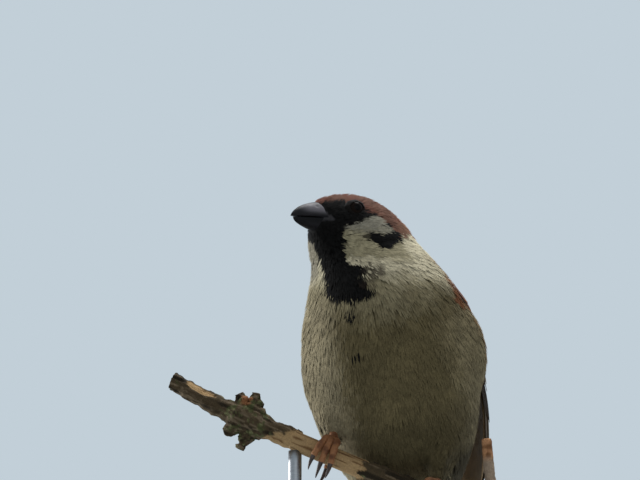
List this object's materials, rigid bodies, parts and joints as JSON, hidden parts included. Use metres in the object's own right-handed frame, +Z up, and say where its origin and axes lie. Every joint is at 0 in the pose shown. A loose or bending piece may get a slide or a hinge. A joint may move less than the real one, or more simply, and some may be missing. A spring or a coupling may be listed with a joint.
{
  "type": "eurasian tree sparrow on a perch",
  "caption": "Life-size tree sparrow, fluffed and upright, head turned aside, gripping a cut length of branch held up by a plain round display stand.",
  "frame": {"origin": "centre of the display stand's underside, on the surface it stands on", "axes": "+Z up, the bird's trunk faces -Y, its left side is towards +X"},
  "size_m": [0.0978, 0.0892, 0.1816],
  "materials": {
    "head_plumage": "short dense feathers, chestnut crown over a black face and white cheeks",
    "body_plumage": "soft feathers, greyish buff below",
    "back_plumage": "soft feathers, brown with dark streaks",
    "flight_feathers": "firm vanes, dark brown with rufous and buff edges",
    "bill": "satin horn, dark grey",
    "eye": "wet gloss, dark brown",
    "leg_skin": "scaled skin, reddish brown",
    "claw": "satin horn, dark brown",
    "branch": "rough bark with lichen, bare wood where it has peeled",
    "stand_wood": "turned wood, satin varnish",
    "stand_metal": "brushed"
  },
  "bodies": {
    "root": {"head": "head_plumage", "neck": "body_plumage", "trunk": "body_plumage", "rump": "back_plumage", "thigh_left": "body_plumage", "thigh_right": "body_plumage", "wing_coverts_left": "back_plumage", "wing_coverts_right": "back_plumage", "wing_secondaries_left": "flight_feathers", "wing_secondaries_right": "flight_feathers", "wing_primaries_left": "flight_feathers", "wing_primaries_right": "flight_feathers", "tail": "flight_feathers", "bill_upper": "bill", "bill_lower": "bill", "eye_left": "eye", "eye_right": "eye", "leg_left": "leg_skin", "leg_right": "leg_skin", "claw_inner_left": "claw", "claw_middle_left": "claw", "claw_outer_left": "claw", "claw_hallux_left": "claw", "claw_inner_right": "claw", "claw_middle_right": "claw", "claw_outer_right": "claw", "claw_hallux_right": "claw", "perch": "branch", "stand_base": "stand_wood", "stand_rod": "stand_metal"}
  },
  "joints": []
}
